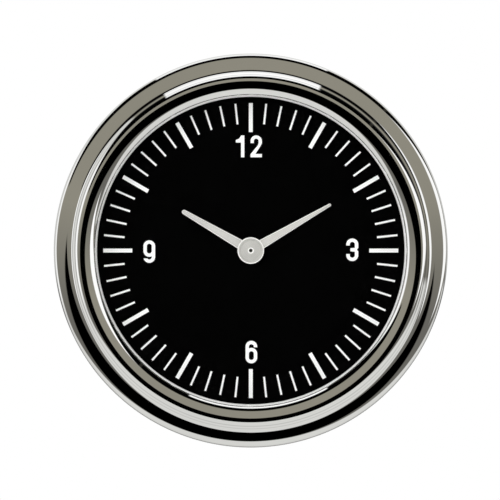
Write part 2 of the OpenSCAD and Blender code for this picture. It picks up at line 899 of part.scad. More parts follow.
module terminal_studs() {
    head_h = 1.5;
    free_front = cover_back - insulator_t - 2 * clamp_nut_h - washer_t - 0.1;
    color("goldenrod") place() for (p = terminals) {
        translate([p[0], p[1], 0]) hex(3.1, cover_front, cover_front + head_h);
        bar(p, stud_r - 0.3, free_front, cover_front);
        bar(p, stud_r, terminal_end + 0.5, free_front);
        translate([p[0], p[1], terminal_end]) cylinder(r1 = stud_r - 0.4, r2 = stud_r, h = 0.5);
    }
}

module terminal_insulators() {
    color("#602020") place() for (p = terminals) translate([p[0], p[1], 0])
        ring(hex_r, stud_r + stud_hole_gap, cover_back - insulator_t, cover_back);
}

module terminal_nuts_at(z_front) {
    for (p = terminals) translate([p[0], p[1], 0]) difference() {
        hex(hex_r, z_front - clamp_nut_h, z_front);
        drill([0, 0], stud_r + stud_hole_gap, z_front - clamp_nut_h, z_front);
    }
}

module terminal_clamp_nuts() {
    color("goldenrod") place() terminal_nuts_at(cover_back - insulator_t);
}

module terminal_washers() {
    z = cover_back - insulator_t - clamp_nut_h;
    color("gold") place() for (p = terminals) translate([p[0], p[1], 0])
        ring(hex_r, stud_r + stud_hole_gap, z - washer_t, z);
}

module terminal_lead_nuts() {
    color("goldenrod") place()
        terminal_nuts_at(cover_back - insulator_t - clamp_nut_h - washer_t);
}

module lamp_holder() {
    tail = cover_back - 5;
    socket_front = case_back + 5.5;
    color("#303030") place() {
        translate([lamp_at[0], lamp_at[1], 0]) difference() {
            union() {
                bar([0, 0], lamp_r, tail, socket_front);
                bar([0, 0], lamp_r + 1.2, cover_back - 1.4, cover_back);
                translate([-lamp_r, -0.8, tail - 2]) cube([2 * lamp_r, 1.6, 2.1]);
            }
            bar([0, 0], 2.45, case_back + 2, socket_front + cut);
        }
    }
}

module lamp_bulb() {
    glass_r = 2.4;
    tip = case_back + 11;
    color("lightyellow", 0.6) place() translate([lamp_at[0], lamp_at[1], 0]) {
        bar([0, 0], glass_r, case_back + 2, tip - glass_r);
        translate([0, 0, tip - glass_r]) sphere(r = glass_r);
    }
}

// ---- clamp ----

module mounting_studs() {
    color("silver") place() for (p = studs) {
        translate([p[0], p[1], 0]) hex(hex_r, cover_front, cover_front + 1.5);
        bar(p, stud_r, 0.5 - stud_end, cover_front);
        translate([p[0], p[1], -stud_end]) cylinder(r1 = stud_r - 0.4, r2 = stud_r, h = 0.5);
    }
}

// A quarter bend of the strip whose inner corner is centred on p
module bend(p, quadrant) {
    translate(p) rotate(quadrant * 90) intersection() {
        difference() {
            circle(r = bend_r + strap_t);
            circle(r = bend_r);
        }
        square(bend_r + strap_t);
    }
}

// Half of the bracket's section, seen from below: x outwards, y towards the panel
module bracket_half() {
    strap_back = strap_front - strap_t;
    leg_out = leg_x + strap_t;
    foot_x0 = leg_out + bend_r;
    inner = leg_x - bend_r;
    translate([0, strap_back]) square([inner, strap_t]);
    bend([inner, strap_front + bend_r], 3);
    translate([leg_x, strap_front + bend_r])
        square([strap_t, foot_front - strap_t - bend_r - strap_front - bend_r]);
    bend([foot_x0, foot_front - strap_t - bend_r], 1);
    translate([foot_x0, foot_front - strap_t])
        square([leg_x + foot_reach - foot_x0, strap_t]);
}

module bracket() {
    slide_gap = 0.3;
    color("lightgray") place() difference() {
        translate([0, strap_w / 2, 0]) rotate([90, 0, 0]) linear_extrude(strap_w) {
            bracket_half();
            mirror([1, 0]) bracket_half();
        }
        for (p = studs) drill(p, stud_r + slide_gap, strap_front - strap_t, strap_front);
    }
}

module bracket_washers() {
    z = strap_front - strap_t;
    color("silver") place() for (p = studs) translate([p[0], p[1], 0])
        ring(4.6, stud_r + 0.3, z - clamp_washer_t, z);
}

module thumb_nut(p) {
    front = strap_front - strap_t - clamp_washer_t;
    color("goldenrod") place() translate([p[0], p[1], 0]) difference() {
        union() {
            knurled(thumb_nut_r, 36, 0.3, front - thumb_nut_h, front - 1.2);
            bar([0, 0], 4.2, front - 1.2, front);
        }
        drill([0, 0], stud_r + stud_hole_gap, front - thumb_nut_h, front);
    }
}

module nut_left() {
    thumb_nut(studs[1]);
}

module nut_right() {
    thumb_nut(studs[0]);
}

bezel();
panel_gasket();
case();
lens_gasket();
lens();
trim_ring();
dial();
minute_marks();
hour_marks();
numerals();
dial_feet();
dial_carrier();
hour_hand();
hour_wheel();
minute_hand();
minute_arbor();
clutch_washer();
minute_wheel_post();
minute_wheel();
set_stem();
set_knob();
front_plate();
back_plate();
pillars();
plate_screws();
carrier_screws();
centre_wheel();
third_wheel();
fourth_wheel();
fifth_wheel();
rotor_pinion();
rotor_magnet();
stator();
stator_posts();
coil_core();
coil();
circuit_board();
board_spacers();
board_screws();
chip();
crystal();
capacitor();
contact_strips();
rear_seal();
rear_cover();
cover_screws();
terminal_studs();
terminal_insulators();
terminal_clamp_nuts();
terminal_washers();
terminal_lead_nuts();
lamp_holder();
lamp_bulb();
mounting_studs();
bracket();
bracket_washers();
nut_left();
nut_right();
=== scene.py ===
"""Panel-mounted ship's clock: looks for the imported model.

The face frame used below is in millimetres: x right, y up, z towards the viewer,
with z = 0 on the panel's front face. spot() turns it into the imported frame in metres.
"""

import json
import math

import bmesh
import bpy
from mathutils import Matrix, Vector


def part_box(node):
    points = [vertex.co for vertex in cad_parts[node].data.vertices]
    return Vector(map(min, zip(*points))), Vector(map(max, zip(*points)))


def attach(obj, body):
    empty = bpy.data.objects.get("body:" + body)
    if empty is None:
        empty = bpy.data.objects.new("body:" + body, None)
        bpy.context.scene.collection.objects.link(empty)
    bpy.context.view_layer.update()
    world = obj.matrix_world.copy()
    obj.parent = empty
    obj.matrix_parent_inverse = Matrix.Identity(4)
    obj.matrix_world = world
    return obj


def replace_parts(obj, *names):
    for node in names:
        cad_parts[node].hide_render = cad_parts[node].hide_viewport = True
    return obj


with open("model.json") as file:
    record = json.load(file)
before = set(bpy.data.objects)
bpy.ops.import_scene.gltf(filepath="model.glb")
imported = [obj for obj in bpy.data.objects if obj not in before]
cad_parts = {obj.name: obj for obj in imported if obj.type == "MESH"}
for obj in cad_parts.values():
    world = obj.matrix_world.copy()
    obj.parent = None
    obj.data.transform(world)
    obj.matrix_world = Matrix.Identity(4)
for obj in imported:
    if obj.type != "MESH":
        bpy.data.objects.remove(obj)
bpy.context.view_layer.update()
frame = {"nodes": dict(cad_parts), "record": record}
NODES = frame["nodes"]
BODY_OF = {n: b for b, names in frame["record"]["behaviour"]["bodies"].items() for n in names}
SLOT_OF = {s["node"]: s["material_slot"] for s in frame["record"]["subparts"]}
MM = 0.001
TAU = 2 * math.pi


# ---------------------------------------------------------------- places

def spot(x, y, z):
    """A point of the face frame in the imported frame."""
    return (x * MM, -z * MM, y * MM)


def face_box(node):
    """Lowest and highest corner of a CAD node in the face frame, in millimetres."""
    low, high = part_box(node)
    return (Vector((low.x, low.z, -high.y)) / MM, Vector((high.x, high.z, -low.y)) / MM)


def depth(node):
    """Back and front of a CAD node."""
    low, high = face_box(node)
    return low.z, high.z


def radius(node):
    """Outer radius of a round CAD node."""
    low, high = face_box(node)
    return (high.x - low.x) / 2


# ---------------------------------------------------------------- meshes

def add_piece(name, verts, faces, node, sharp=30):
    """A mesh piece that rides with the CAD node's body and has its slot and look."""
    mesh = bpy.data.meshes.new(name)
    mesh.from_pydata(verts, [], faces)
    mesh.validate()
    shape = bmesh.new()
    shape.from_mesh(mesh)
    bmesh.ops.recalc_face_normals(shape, faces=shape.faces)
    shape.to_mesh(mesh)
    shape.free()
    mesh.polygons.foreach_set("use_smooth", [True] * len(mesh.polygons))
    mesh.set_sharp_from_angle(angle=math.radians(sharp))
    mesh.materials.append(LOOKS[SLOT_OF[node]])
    piece = bpy.data.objects.new(name, mesh)
    bpy.context.scene.collection.objects.link(piece)
    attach(piece, BODY_OF[node])
    return piece


def reach(r, angle):
    """A radius that may be a number or a function of the angle."""
    return r(angle) if callable(r) else r


def turned_parts(rings, segments, centre=(0, 0), closed=True):
    """Vertices and faces of a turned shape.

    rings lists (radius, z); a radius may be a function of the angle. A closed
    section joins its last ring to its first, an open one starts and ends on the axis.
    """
    verts, faces, index = [], [], []
    for r, z in rings:
        if not callable(r) and r < 1e-6:
            index.append([len(verts)])
            verts.append(spot(centre[0], centre[1], z))
            continue
        index.append(list(range(len(verts), len(verts) + segments)))
        for i in range(segments):
            a = TAU * i / segments
            here = reach(r, a)
            verts.append(spot(centre[0] + here * math.cos(a), centre[1] + here * math.sin(a), z))
    pairs = list(zip(index, index[1:]))
    if closed:
        pairs.append((index[-1], index[0]))
    for low, high in pairs:
        for i in range(segments):
            j = (i + 1) % segments
            if len(low) == 1 and len(high) == 1:
                continue
            if len(low) == 1:
                faces.append((low[0], high[i], high[j]))
            elif len(high) == 1:
                faces.append((low[i], high[0], low[j]))
            else:
                faces.append((low[i], high[i], high[j], low[j]))
    return verts, faces


def turned(name, rings, node, segments=128, centres=((0, 0),), closed=True, sharp=30):
    """One piece with the same turned shape at each centre."""
    verts, faces = [], []
    for centre in centres:
        more, sides = turned_parts(rings, segments, centre, closed)
        base = len(verts)
        verts += more
        faces += [tuple(base + i for i in side) for side in sides]
    return add_piece(name, verts, faces, node, sharp)


def eased(points, size, steps=3, closed=True):
    """The section with every corner rounded by about size."""
    count = len(points)
    result = []
    for i, p in enumerate(points):
        if not closed and i in (0, count - 1):
            result.append(p)
            continue
        before, after = Vector(points[i - 1]), Vector(points[(i + 1) % count])
        here = Vector(p)
        back, ahead = before - here, after - here
        cut = min(size, back.length * 0.45, ahead.length * 0.45)
        start, end = here + back.normalized() * cut, here + ahead.normalized() * cut
        for k in range(steps + 1):
            t = k / steps
            q = start * (1 - t) ** 2 + here * 2 * t * (1 - t) + end * t * t
            result.append((q.x, q.y))
    return result


def plate(name, outline, z0, z1, node, ease, turn):
    """A flat plate with eased front edges, turned clockwise from up.

    outline is counter-clockwise and drawn pointing up.
    """
    count = len(outline)

    def loop(inset, z):
        ring = []
        for i, p in enumerate(outline):
            before, after = Vector(outline[i - 1]), Vector(outline[(i + 1) % count])
            here = Vector(p)
            way = ((here - before).normalized() + (after - here).normalized()).normalized()
            inward = Vector((-way.y, way.x))
            q = here + inward * inset
            x = q.x * math.cos(turn) + q.y * math.sin(turn)
            y = q.y * math.cos(turn) - q.x * math.sin(turn)
            ring.append(spot(x, y, z))
        return ring

    # The eased edge is two flats, a steep one and a shallow one
    knee_in, knee_down = 0.35 * ease, 0.3 * ease
    loops = [loop(0, z0), loop(0, z1 - ease), loop(knee_in, z1 - knee_down), loop(ease, z1)]
    verts = [v for ring in loops for v in ring]
    faces = [tuple(reversed(range(count)))]
    for low in range(0, (len(loops) - 1) * count, count):
        high = low + count
        for i in range(count):
            j = (i + 1) % count
            faces.append((low + i, low + j, high + j, high + i))
    faces.append(tuple(range(len(verts) - count, len(verts))))
    return add_piece(name, verts, faces, node, sharp=25)


def hexagon(r):
    """Radius of a hexagon with a corner at angle 0."""
    return lambda a: r * math.cos(math.pi / 6) / math.cos(a % (math.pi / 3) - math.pi / 6)


def knurl(r, ribs, deep):
    """Radius of a round head with smooth straight ribs."""
    return lambda a: r - deep * (0.5 - 0.5 * math.cos(ribs * a))


def capped(r, most):
    """The radius r, but never more than most."""
    return lambda a: min(reach(r, a), most)


CHAMFER_STEPS = 6
CHAMFER_SLOPE = 0.6


def chamfered(r, r_end, z_end, inwards):
    """Rings that cut a head's corners back to r_end at its end; inwards is 1 or -1 along z."""
    rings = []
    for k in range(CHAMFER_STEPS + 1):
        out = (r_end * 0.16 + 0.12) * k / CHAMFER_STEPS
        rings.append((capped(r, r_end + out), z_end + inwards * CHAMFER_SLOPE * out))
    return rings


THREAD_PITCH = 0.7
THREAD_DEPTH = 0.38
THREAD_STEPS = 8
THREAD_TAPER = 0.5
# The profile is a triangle wave, made steeper and cut off flat at the root and the crest
FLANK_RISE = 1.7
FLANK_DROP = 0.35


def thread(r, z0, z1):
    """Rings of a right-hand thread from z0 up to z1, with its first end tapered."""
    count = round((z1 - z0) / THREAD_PITCH * THREAD_STEPS)
    rings = []
    for k in range(count + 1):
        z = z0 + (z1 - z0) * k / count
        most = r - max(0.0, THREAD_TAPER - (z - z0))

        def at(a, z=z, most=most):
            turn = (z / THREAD_PITCH - a / TAU) % 1
            wave = min(1.0, max(0.0, FLANK_RISE * (1 - abs(2 * turn - 1)) - FLANK_DROP))
            return min(r - THREAD_DEPTH * (1 - wave), most)
        rings.append((at, z))
    return rings


# ---------------------------------------------------------------- materials

class Look:
    """A Principled material with a few helpers for procedural detail."""

    def __init__(self, name, colour, roughness, metallic=0.0, ease_mm=0.0):
        self.material = bpy.data.materials.new(name)
        self.material.use_nodes = True
        self.tree = self.material.node_tree
        self.shader = self.tree.nodes["Principled BSDF"]
        self.shader.inputs["Base Color"].default_value = (*colour, 1)
        self.shader.inputs["Roughness"].default_value = roughness
        self.shader.inputs["Metallic"].default_value = metallic
        where = self.node("ShaderNodeTexCoord")
        self.place, self.facing = where.outputs["Object"], where.outputs["Normal"]
        self.colour = colour
        self.tinted = None
        self.height = None
        if ease_mm:
            self.height = self.node("ShaderNodeBevel", Radius=ease_mm * MM).outputs["Normal"]
            self.join(self.height, self.shader.inputs["Normal"])

    def node(self, kind, **values):
        """A new node; values name its inputs or its settings."""
        made = self.tree.nodes.new(kind)
        for key, value in values.items():
            if key in made.inputs:
                made.inputs[key].default_value = value
            else:
                setattr(made, key, value)
        return made

    def join(self, source, target):
        self.tree.links.new(source, target)

    def noise(self, scale, detail, stretch=(1, 1, 1)):
        """Noise with so many features to the metre; stretch makes them denser along an axis."""
        mapping = self.node("ShaderNodeMapping", Scale=stretch)
        self.join(self.place, mapping.inputs["Vector"])
        made = self.node("ShaderNodeTexNoise", Scale=scale, Detail=detail, Roughness=0.55)
        self.join(mapping.outputs["Vector"], made.inputs["Vector"])
        return made.outputs["Fac"]

    def spread(self, source, low, high, start=0.3, stop=0.7):
        """Maps source from start..stop to low..high, and holds it there beyond them."""
        made = self.node("ShaderNodeMapRange")
        for key, value in (("From Min", start), ("From Max", stop),
                           ("To Min", low), ("To Max", high)):
            made.inputs[key].default_value = value
        self.join(source, made.inputs["Value"])
        return made.outputs["Result"]

    def from_axis(self):
        """Distance in mm from the clock's axis."""
        flat = self.node("ShaderNodeVectorMath", operation="MULTIPLY")
        flat.inputs[1].default_value = (1 / MM, 0, 1 / MM)
        self.join(self.place, flat.inputs[0])
        length = self.node("ShaderNodeVectorMath", operation="LENGTH")
        self.join(flat.outputs["Vector"], length.inputs[0])
        return length.outputs["Value"]

    def slope(self):
        """0 where the face lies across the clock's axis, 1 where it lies along it."""
        part = self.node("ShaderNodeSeparateXYZ")
        self.join(self.facing, part.inputs[0])
        size = self.node("ShaderNodeMath", operation="ABSOLUTE")
        self.join(part.outputs["Y"], size.inputs[0])
        return self.spread(size.outputs[0], 1, 0, 0, 1)

    def rough(self, source, low, high):
        self.join(self.spread(source, low, high), self.shader.inputs["Roughness"])

    def tint(self, source, other, start, stop):
        """Blends the colour so far towards other as source goes from start to stop."""
        made = self.node("ShaderNodeMix", data_type="RGBA")
        if self.tinted is None:
            made.inputs["A"].default_value = (*self.colour, 1)
        else:
            self.join(self.tinted, made.inputs["A"])
        made.inputs["B"].default_value = (*other, 1)
        self.join(self.spread(source, 0, 1, start, stop), made.inputs["Factor"])
        self.tinted = made.outputs["Result"]
        self.join(self.tinted, self.shader.inputs["Base Color"])

    def bump(self, source, distance_mm, strength):
        made = self.node("ShaderNodeBump", Strength=strength, Distance=distance_mm * MM)
        self.join(source, made.inputs["Height"])
        if self.height is not None:
            self.join(self.height, made.inputs["Normal"])
        self.height = made.outputs["Normal"]
        self.join(self.height, self.shader.inputs["Normal"])


EDGE_MM = 0.14
# Colour of the painted highlight on the hands' eased edges and on the hub's rings
HAND_EDGE_HIGHLIGHT = (0.96, 0.955, 0.93)
AROUND_CASE = (1, 30, 1)
ALONG_COIL = (1, 1, 40)
ALONG_BRASS = (1, 0.08, 1)


def chrome(name):
    """Polished plate: almost a mirror, with a trace of haze."""
    look = Look(name, (0.87, 0.87, 0.86), 0.012, 1.0)
    look.rough(look.noise(180, 4), 0.012, 0.04)
    look.tint(look.noise(60, 2), (0.8265, 0.8265, 0.817), 0.35, 0.7)
    look.bump(look.noise(350, 3), 0.0003, 0.2)
    return look.material


def worked_metal(name, colour, low, high, stretch=(1, 1, 1), grain=900, metallic=1.0,
                 depth_mm=0.004, stain=None, ease_mm=EDGE_MM):
    """Metal with fine tool lines, a duller stain here and there and eased edges."""
    look = Look(name, colour, (low + high) / 2, metallic, ease_mm)
    lines = look.noise(grain, 4, stretch)
    look.rough(lines, low, high)
    look.tint(look.noise(120, 4), stain or tuple(c * 0.74 for c in colour), 0.45, 0.85)
    look.bump(lines, depth_mm, 0.35)
    return look.material


def moulded(name, colour, low=0.38, high=0.55):
    """Plastic, lacquer, fibre or ferrite with a fine grain."""
    look = Look(name, colour, (low + high) / 2, 0.0, EDGE_MM)
    look.rough(look.noise(260, 4), low, high)
    look.tint(look.noise(90, 4), tuple(min(1, c * 1.35 + 0.004) for c in colour), 0.4, 0.8)
    look.bump(look.noise(1600, 3), 0.012, 0.4)
    return look.material


def rubber(name):
    """Matt black rubber, paler in places."""
    look = Look(name, (0.012, 0.012, 0.0125), 0.75, 0.0, EDGE_MM)
    look.rough(look.noise(700, 4), 0.62, 0.85)
    look.tint(look.noise(220, 5), (0.026, 0.026, 0.027), 0.45, 0.8)
    look.bump(look.noise(2200, 4), 0.02, 0.5)
    return look.material


def clear_glass(name, colour=(1, 1, 1)):
    """Thin clear glass: what lies behind shows straight through, with a surface gloss.

    Only the outer side of each face is glossy, so light inside is never trapped.
    """
    look = Look(name, colour, 0.01)
    look.tree.nodes.remove(look.shader)
    through = look.node("ShaderNodeBsdfTransparent", Color=(*colour, 1))
    gloss = look.node("ShaderNodeBsdfGlossy")
    smear = look.spread(look.noise(300, 5), 0.005, 0.05, 0.4, 0.8)
    look.join(smear, gloss.inputs["Roughness"])
    fresnel = look.node("ShaderNodeFresnel", IOR=1.45)
    outside = look.node("ShaderNodeMath", operation="SUBTRACT")
    outside.inputs[0].default_value = 1
    look.join(look.node("ShaderNodeNewGeometry").outputs["Backfacing"], outside.inputs[1])
    outer_gloss = look.node("ShaderNodeMath", operation="MULTIPLY")
    look.join(fresnel.outputs["Fac"], outer_gloss.inputs[0])
    look.join(outside.outputs[0], outer_gloss.inputs[1])
    mix = look.node("ShaderNodeMixShader")
    look.join(outer_gloss.outputs[0], mix.inputs[0])
    look.join(through.outputs["BSDF"], mix.inputs[1])
    look.join(gloss.outputs["BSDF"], mix.inputs[2])
    look.join(mix.outputs["Shader"], look.tree.nodes["Material Output"].inputs["Surface"])
    return look.material


def fine_paint(name, colour, other, low=0.42, high=0.6, gloss=0.5):
    """Lacquer or print: an even coat with a very fine tooth."""
    look = Look(name, colour, (low + high) / 2)
    look.shader.inputs["Specular IOR Level"].default_value = gloss
    look.rough(look.noise(1200, 4), low, high)
    look.tint(look.noise(500, 4), other, 0.42, 0.82)
    look.bump(look.noise(2600, 3), 0.005, 0.3)
    return look.material


def hand_paint(name, face, highlight_bands=()):
    """Silver paint with a painted highlight: lighter on the eased edges, where the faces slope
    away from the axis.

    A hub has painted highlight rings instead: each is the distance in mm from the axis at which it
    begins and the one at which it is full.
    """
    look = Look(name, face, 0.4, 0.1)
    look.rough(look.noise(1200, 4), 0.34, 0.46)
    look.tint(look.noise(500, 4), tuple(c * 0.92 for c in face), 0.42, 0.82)
    # Painted highlight: a blade's eased edges, which slope away from the axis, are coloured
    # lighter
    if not highlight_bands:
        look.tint(look.slope(), HAND_EDGE_HIGHLIGHT, 0.03, 0.12)
    # Painted highlight: lighter rings on the hub, set by distance from the axis
    for start, stop in highlight_bands:
        look.tint(look.from_axis(), HAND_EDGE_HIGHLIGHT, start, stop)
    look.bump(look.noise(2600, 3), 0.005, 0.3)
    return look.material


LOOKS = {
    "bezel_chrome": chrome("bezel_chrome"),
    "trim_metal": fine_paint("trim_metal", (0.93, 0.93, 0.92), (0.86, 0.86, 0.85), 0.3, 0.42),
    "seal_rubber": rubber("seal_rubber"),
    "case_steel": worked_metal("case_steel", (0.60, 0.60, 0.59), 0.26, 0.38, AROUND_CASE,
                               grain=120, depth_mm=0.001, stain=(0.54, 0.54, 0.53)),
    "lens_glass": clear_glass("lens_glass"),
    "dial_black": fine_paint("dial_black", (0.0006, 0.0006, 0.0006), (0.0012, 0.0012, 0.0013),
                             0.55, 0.7, gloss=0.02),
    "print_white": fine_paint("print_white", (0.95, 0.955, 0.95), (0.90, 0.91, 0.91)),
    "hand_silver": hand_paint("hand_silver", (0.63, 0.625, 0.597)),
    # The hub's two painted highlight rings: one round the pin hole and one at the rim
    "hub_silver": hand_paint("hub_silver", (0.55, 0.545, 0.52), ((0.52, 0.42), (1.86, 1.94))),
    "brass": worked_metal("brass", (0.80, 0.59, 0.29), 0.16, 0.30, ALONG_BRASS, grain=1500,
                          depth_mm=0.002, stain=(0.52, 0.33, 0.14), ease_mm=0.05),
    "black_plastic": moulded("black_plastic", (0.011, 0.011, 0.012)),
    "steel": worked_metal("steel", (0.66, 0.66, 0.66), 0.16, 0.28, grain=1200, depth_mm=0.0015,
                          ease_mm=0.05),
    "white_plastic": moulded("white_plastic", (0.55, 0.535, 0.48), 0.35, 0.5),
    "magnet": moulded("magnet", (0.06, 0.06, 0.062), 0.45, 0.7),
    "iron": worked_metal("iron", (0.40, 0.40, 0.41), 0.3, 0.5),
    "copper_wire": worked_metal("copper_wire", (0.62, 0.26, 0.11), 0.2, 0.4, ALONG_COIL,
                                grain=300, metallic=0.8, depth_mm=0.05),
    "board_green": moulded("board_green", (0.015, 0.12, 0.05), 0.2, 0.35),
    "chip_black": moulded("chip_black", (0.02, 0.02, 0.02), 0.4, 0.6),
    "can_metal": worked_metal("can_metal", (0.72, 0.72, 0.71), 0.15, 0.3),
    "sleeve_blue": moulded("sleeve_blue", (0.02, 0.04, 0.16), 0.2, 0.35),
    "fibre_red": moulded("fibre_red", (0.14, 0.018, 0.013), 0.55, 0.8),
    "bulb_glass": clear_glass("bulb_glass", (0.98, 0.95, 0.85)),
}

for node, piece in NODES.items():
    for slot in piece.material_slots:
        slot.link = "OBJECT"
        slot.material = LOOKS[SLOT_OF[node]]


# ---------------------------------------------------------------- bezel

# Sections of the bezel from its rim inwards: slope at the start and at the end in
# degrees above the flat, and the arc's radius. They match the CAD model's section.
BEZEL_ARCS = (
    (90, 39, 0.753), (39, 16, 4.97), (16, 31, -1.5), (31, 34, -6), (34, 42, -2.5), (42, 44, -9),
    (44, 34, 5.4), (34, 0, 0.864), (0, -20, 1.9), (-20, -34, 2.81), (-34, -43, 5.7),
)
SHEET = 0.6
FOLD = 4.2


def bezel_skin(start, inset, steps):
    """The section from start inwards, or its inner face when inset by the sheet."""
    points = []
    r, z = start
    for first, last, size in BEZEL_ARCS:
        sin0, cos0 = math.sin(math.radians(first)), math.cos(math.radians(first))
        for k in range(1 if points else 0, steps + 1):
            slope = math.radians(first + (last - first) * k / steps)
            here_r = r + size * (math.sin(slope) - sin0) - inset * math.sin(slope)
            here_z = z + size * (math.cos(slope) - cos0) - inset * math.cos(slope)
            points.append((here_r, here_z))
        end = math.radians(last)
        r += size * (math.sin(end) - sin0)
        z += size * (math.cos(end) - cos0)
    return points


def make_bezel():
    """The pressed bezel: its skin, a round inner lip, the sheet's inner face and the rear fold."""
    back, front = depth("bezel")
    rim_r = radius("bezel")
    fold_r = rim_r - FOLD
    rise = max(z for _, z in bezel_skin((rim_r, 0), 0, 8))
    outer = bezel_skin((rim_r, front - rise), 0, 16)
    inner = bezel_skin((rim_r, front - rise), SHEET, 6)
    tip_out, tip_in = outer[-1], inner[-1]
    mid = ((tip_out[0] + tip_in[0]) / 2, (tip_out[1] + tip_in[1]) / 2)
    lip = []
    for k in range(1, 6):
        a = math.radians(BEZEL_ARCS[-1][1] - 180 * k / 6)
        lip.append((mid[0] + SHEET / 2 * math.sin(a), mid[1] + SHEET / 2 * math.cos(a)))
    rim = eased([(fold_r, back + SHEET), (fold_r, back), (rim_r, back), outer[0]], 0.25, 4, False)
    rings = rim[:-1] + outer + lip + inner[::-1] + [(rim_r - SHEET, back + SHEET)]
    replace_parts(turned("bezel_shell", rings, "bezel", 360, sharp=50), "bezel")


# ---------------------------------------------------------------- lens and trim ring

TRIM_W = 1.14
TRIM_CHAMFER = 0.35


def make_front():
    """The glass and the bright ring between it and the dial."""
    back, front = depth("lens")
    r = radius("lens")
    section = eased([(0, back), (r, back), (r, front), (0, front)], 0.15, 2, False)
    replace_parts(turned("lens_disc", section, "lens", closed=False, sharp=5), "lens")

    back, front = depth("trim_ring")
    outer = radius("trim_ring")
    inner = outer - TRIM_W
    section = eased([(inner, back), (outer, back), (outer, front),
                     (inner + TRIM_CHAMFER, front), (inner, front - TRIM_CHAMFER)], 0.08)
    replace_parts(turned("trim_band", section, "trim_ring", 256), "trim_ring")


# ---------------------------------------------------------------- hands

def hand_outline(start, length, root_w, tip_w):
    """Counter-clockwise outline that points up: a taper with a round tip, from start upwards."""
    tip_r = tip_w / 2
    half = (root_w + (tip_w - root_w) * start / (length - tip_r)) / 2
    outline = [(-half, start), (half, start)]
    for k in range(13):
        a = math.pi * k / 12
        outline.append((tip_r * math.cos(a), length - tip_r + tip_r * math.sin(a)))
    return outline


# Start, length, width at the root and width at the tip
MINUTE_BLADE = (1.9, 14.35, 1.62, 0.46)
HOUR_BLADE = (1.7, 12.3, 1.66, 0.73)
MINUTE_ANGLE = math.radians(60)
HOUR_ANGLE = math.radians(300)
HAND_T = 0.4
# Minute hub: outer radius, inside of its rim, foot and top of the cone, bore and pin hole
HUB_R, HUB_RIM_R, CONE_R, CONE_TOP_R, HUB_BORE_R, PIN_HOLE_R = 2.06, 1.7, 1.45, 0.7, 0.63, 0.28
HOUR_BOSS_R, HOUR_BORE_R = 1.95, 1.25
HAIR = 0.01


def make_hands():
    """Each hand is a tapered blade set in a turned hub."""
    back, front = depth("hour_hand")
    blade = plate("hour_blade", hand_outline(*HOUR_BLADE), back + HAIR, front - HAIR,
                  "hour_hand", 0.2, HOUR_ANGLE)
    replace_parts(blade, "hour_hand")
    boss = eased([(HOUR_BORE_R, back), (HOUR_BOSS_R, back), (HOUR_BOSS_R, front),
                  (HOUR_BORE_R, front)], 0.06)
    turned("hour_boss", boss, "hour_hand", 96)

    back, top = depth("minute_hand")
    front = back + HAND_T
    tip = depth("minute_arbor")[1]
    blade = plate("minute_blade", hand_outline(*MINUTE_BLADE), back + HAIR, front - HAIR,
                  "minute_hand", 0.19, MINUTE_ANGLE)
    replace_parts(blade, "minute_hand")
    cap_back, cap_front = tip + HAIR, tip + 4 * HAIR
    section = [(HUB_BORE_R, back), (HUB_R, back), (HUB_R, top), (HUB_RIM_R, top),
               (HUB_RIM_R - 0.1, front), (CONE_R, front), (CONE_TOP_R, cap_front),
               (PIN_HOLE_R, cap_front), (PIN_HOLE_R, cap_back), (HUB_BORE_R, cap_back)]
    hub = turned("minute_hub", eased(section, 0.08, 4), "minute_hand", 96)
    hub.data.materials[0] = LOOKS["hub_silver"]


# ---------------------------------------------------------------- rear hardware

MOUNTS = {m["name"]: m for m in frame["record"]["mounts"]}
JOINTS = {j["name"]: j for j in frame["record"]["behaviour"]["joints"]}


def face_place(where):
    """Where a mount or a joint is on the clock's face."""
    return where["pos_m"][0] / MM, where["pos_m"][2] / MM


TERMINALS = [face_place(MOUNTS[n]) for n in ("terminal_positive", "terminal_negative")]
STUDS = {side: face_place(JOINTS[f"nut_{side}_turn"]) for side in ("left", "right")}
STUD_R = MOUNTS["terminal_positive"]["dims"]["r_mm"]
BORE_R = STUD_R + 0.05
NUT_R = 4
HEAD_H = 1.5
COLLAR_R = 4.2


def washers(name, node, centres, hole, outer, ease=0.12):
    """Flat washers, one at each centre, with eased edges, a hair clear of what they touch."""
    z0, z1 = depth(node)
    z0, z1 = z0 + HAIR, z1 - HAIR
    section = eased([(hole, z0), (outer, z0), (outer, z1), (hole, z1)], ease)
    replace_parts(turned(name, section, node, 96, centres), node)


def hex_nuts(name, node):
    """A nut on each terminal, with chamfered corners and a countersunk bore."""
    z0, z1 = depth(node)
    corners, flat_r, sink = hexagon(NUT_R), 0.86 * NUT_R, 0.25
    section = ([(BORE_R, z0 + sink), (BORE_R + sink, z0)] + chamfered(corners, flat_r, z0, 1)
               + chamfered(corners, flat_r, z1, -1)[::-1]
               + [(BORE_R + sink, z1), (BORE_R, z1 - sink)])
    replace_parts(turned(name, section, node, 96, TERMINALS, sharp=20), node)


def studs(name, node, centres, head_r):
    """Threaded studs, each with a hexagonal head inside the case."""
    z0, z1 = depth(node)
    head, corners = z1 - HEAD_H, hexagon(head_r)
    rings = [(0, z0)] + thread(STUD_R, z0, head) + [(corners, head), (corners, z1), (0, z1)]
    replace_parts(turned(name, rings, node, 48, centres, False, 40), node)


def make_thumb_nut(side):
    """A knurled nut with a plain collar towards the bracket."""
    node = f"nut_{side}"
    ribs = 36
    z0, z1 = depth(node)
    grip = knurl(radius(node), ribs, 0.45)
    collar = z1 - 1.2
    section = ([(BORE_R, z0 + 0.35), (BORE_R + 0.35, z0), (3.6, z0), (3.9, z0 + 0.2)]
               + chamfered(grip, 4.4, z0 + 0.2, 1) + chamfered(grip, 4.6, collar, -1)[::-1]
               + [(COLLAR_R, collar), (COLLAR_R, z1 - 0.12), (COLLAR_R - 0.12, z1),
                  (BORE_R + 0.25, z1), (BORE_R, z1 - 0.25)])
    piece = turned(f"thumb_nut_{side}", section, node, ribs * 8, (STUDS[side],), sharp=35)
    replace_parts(piece, node)


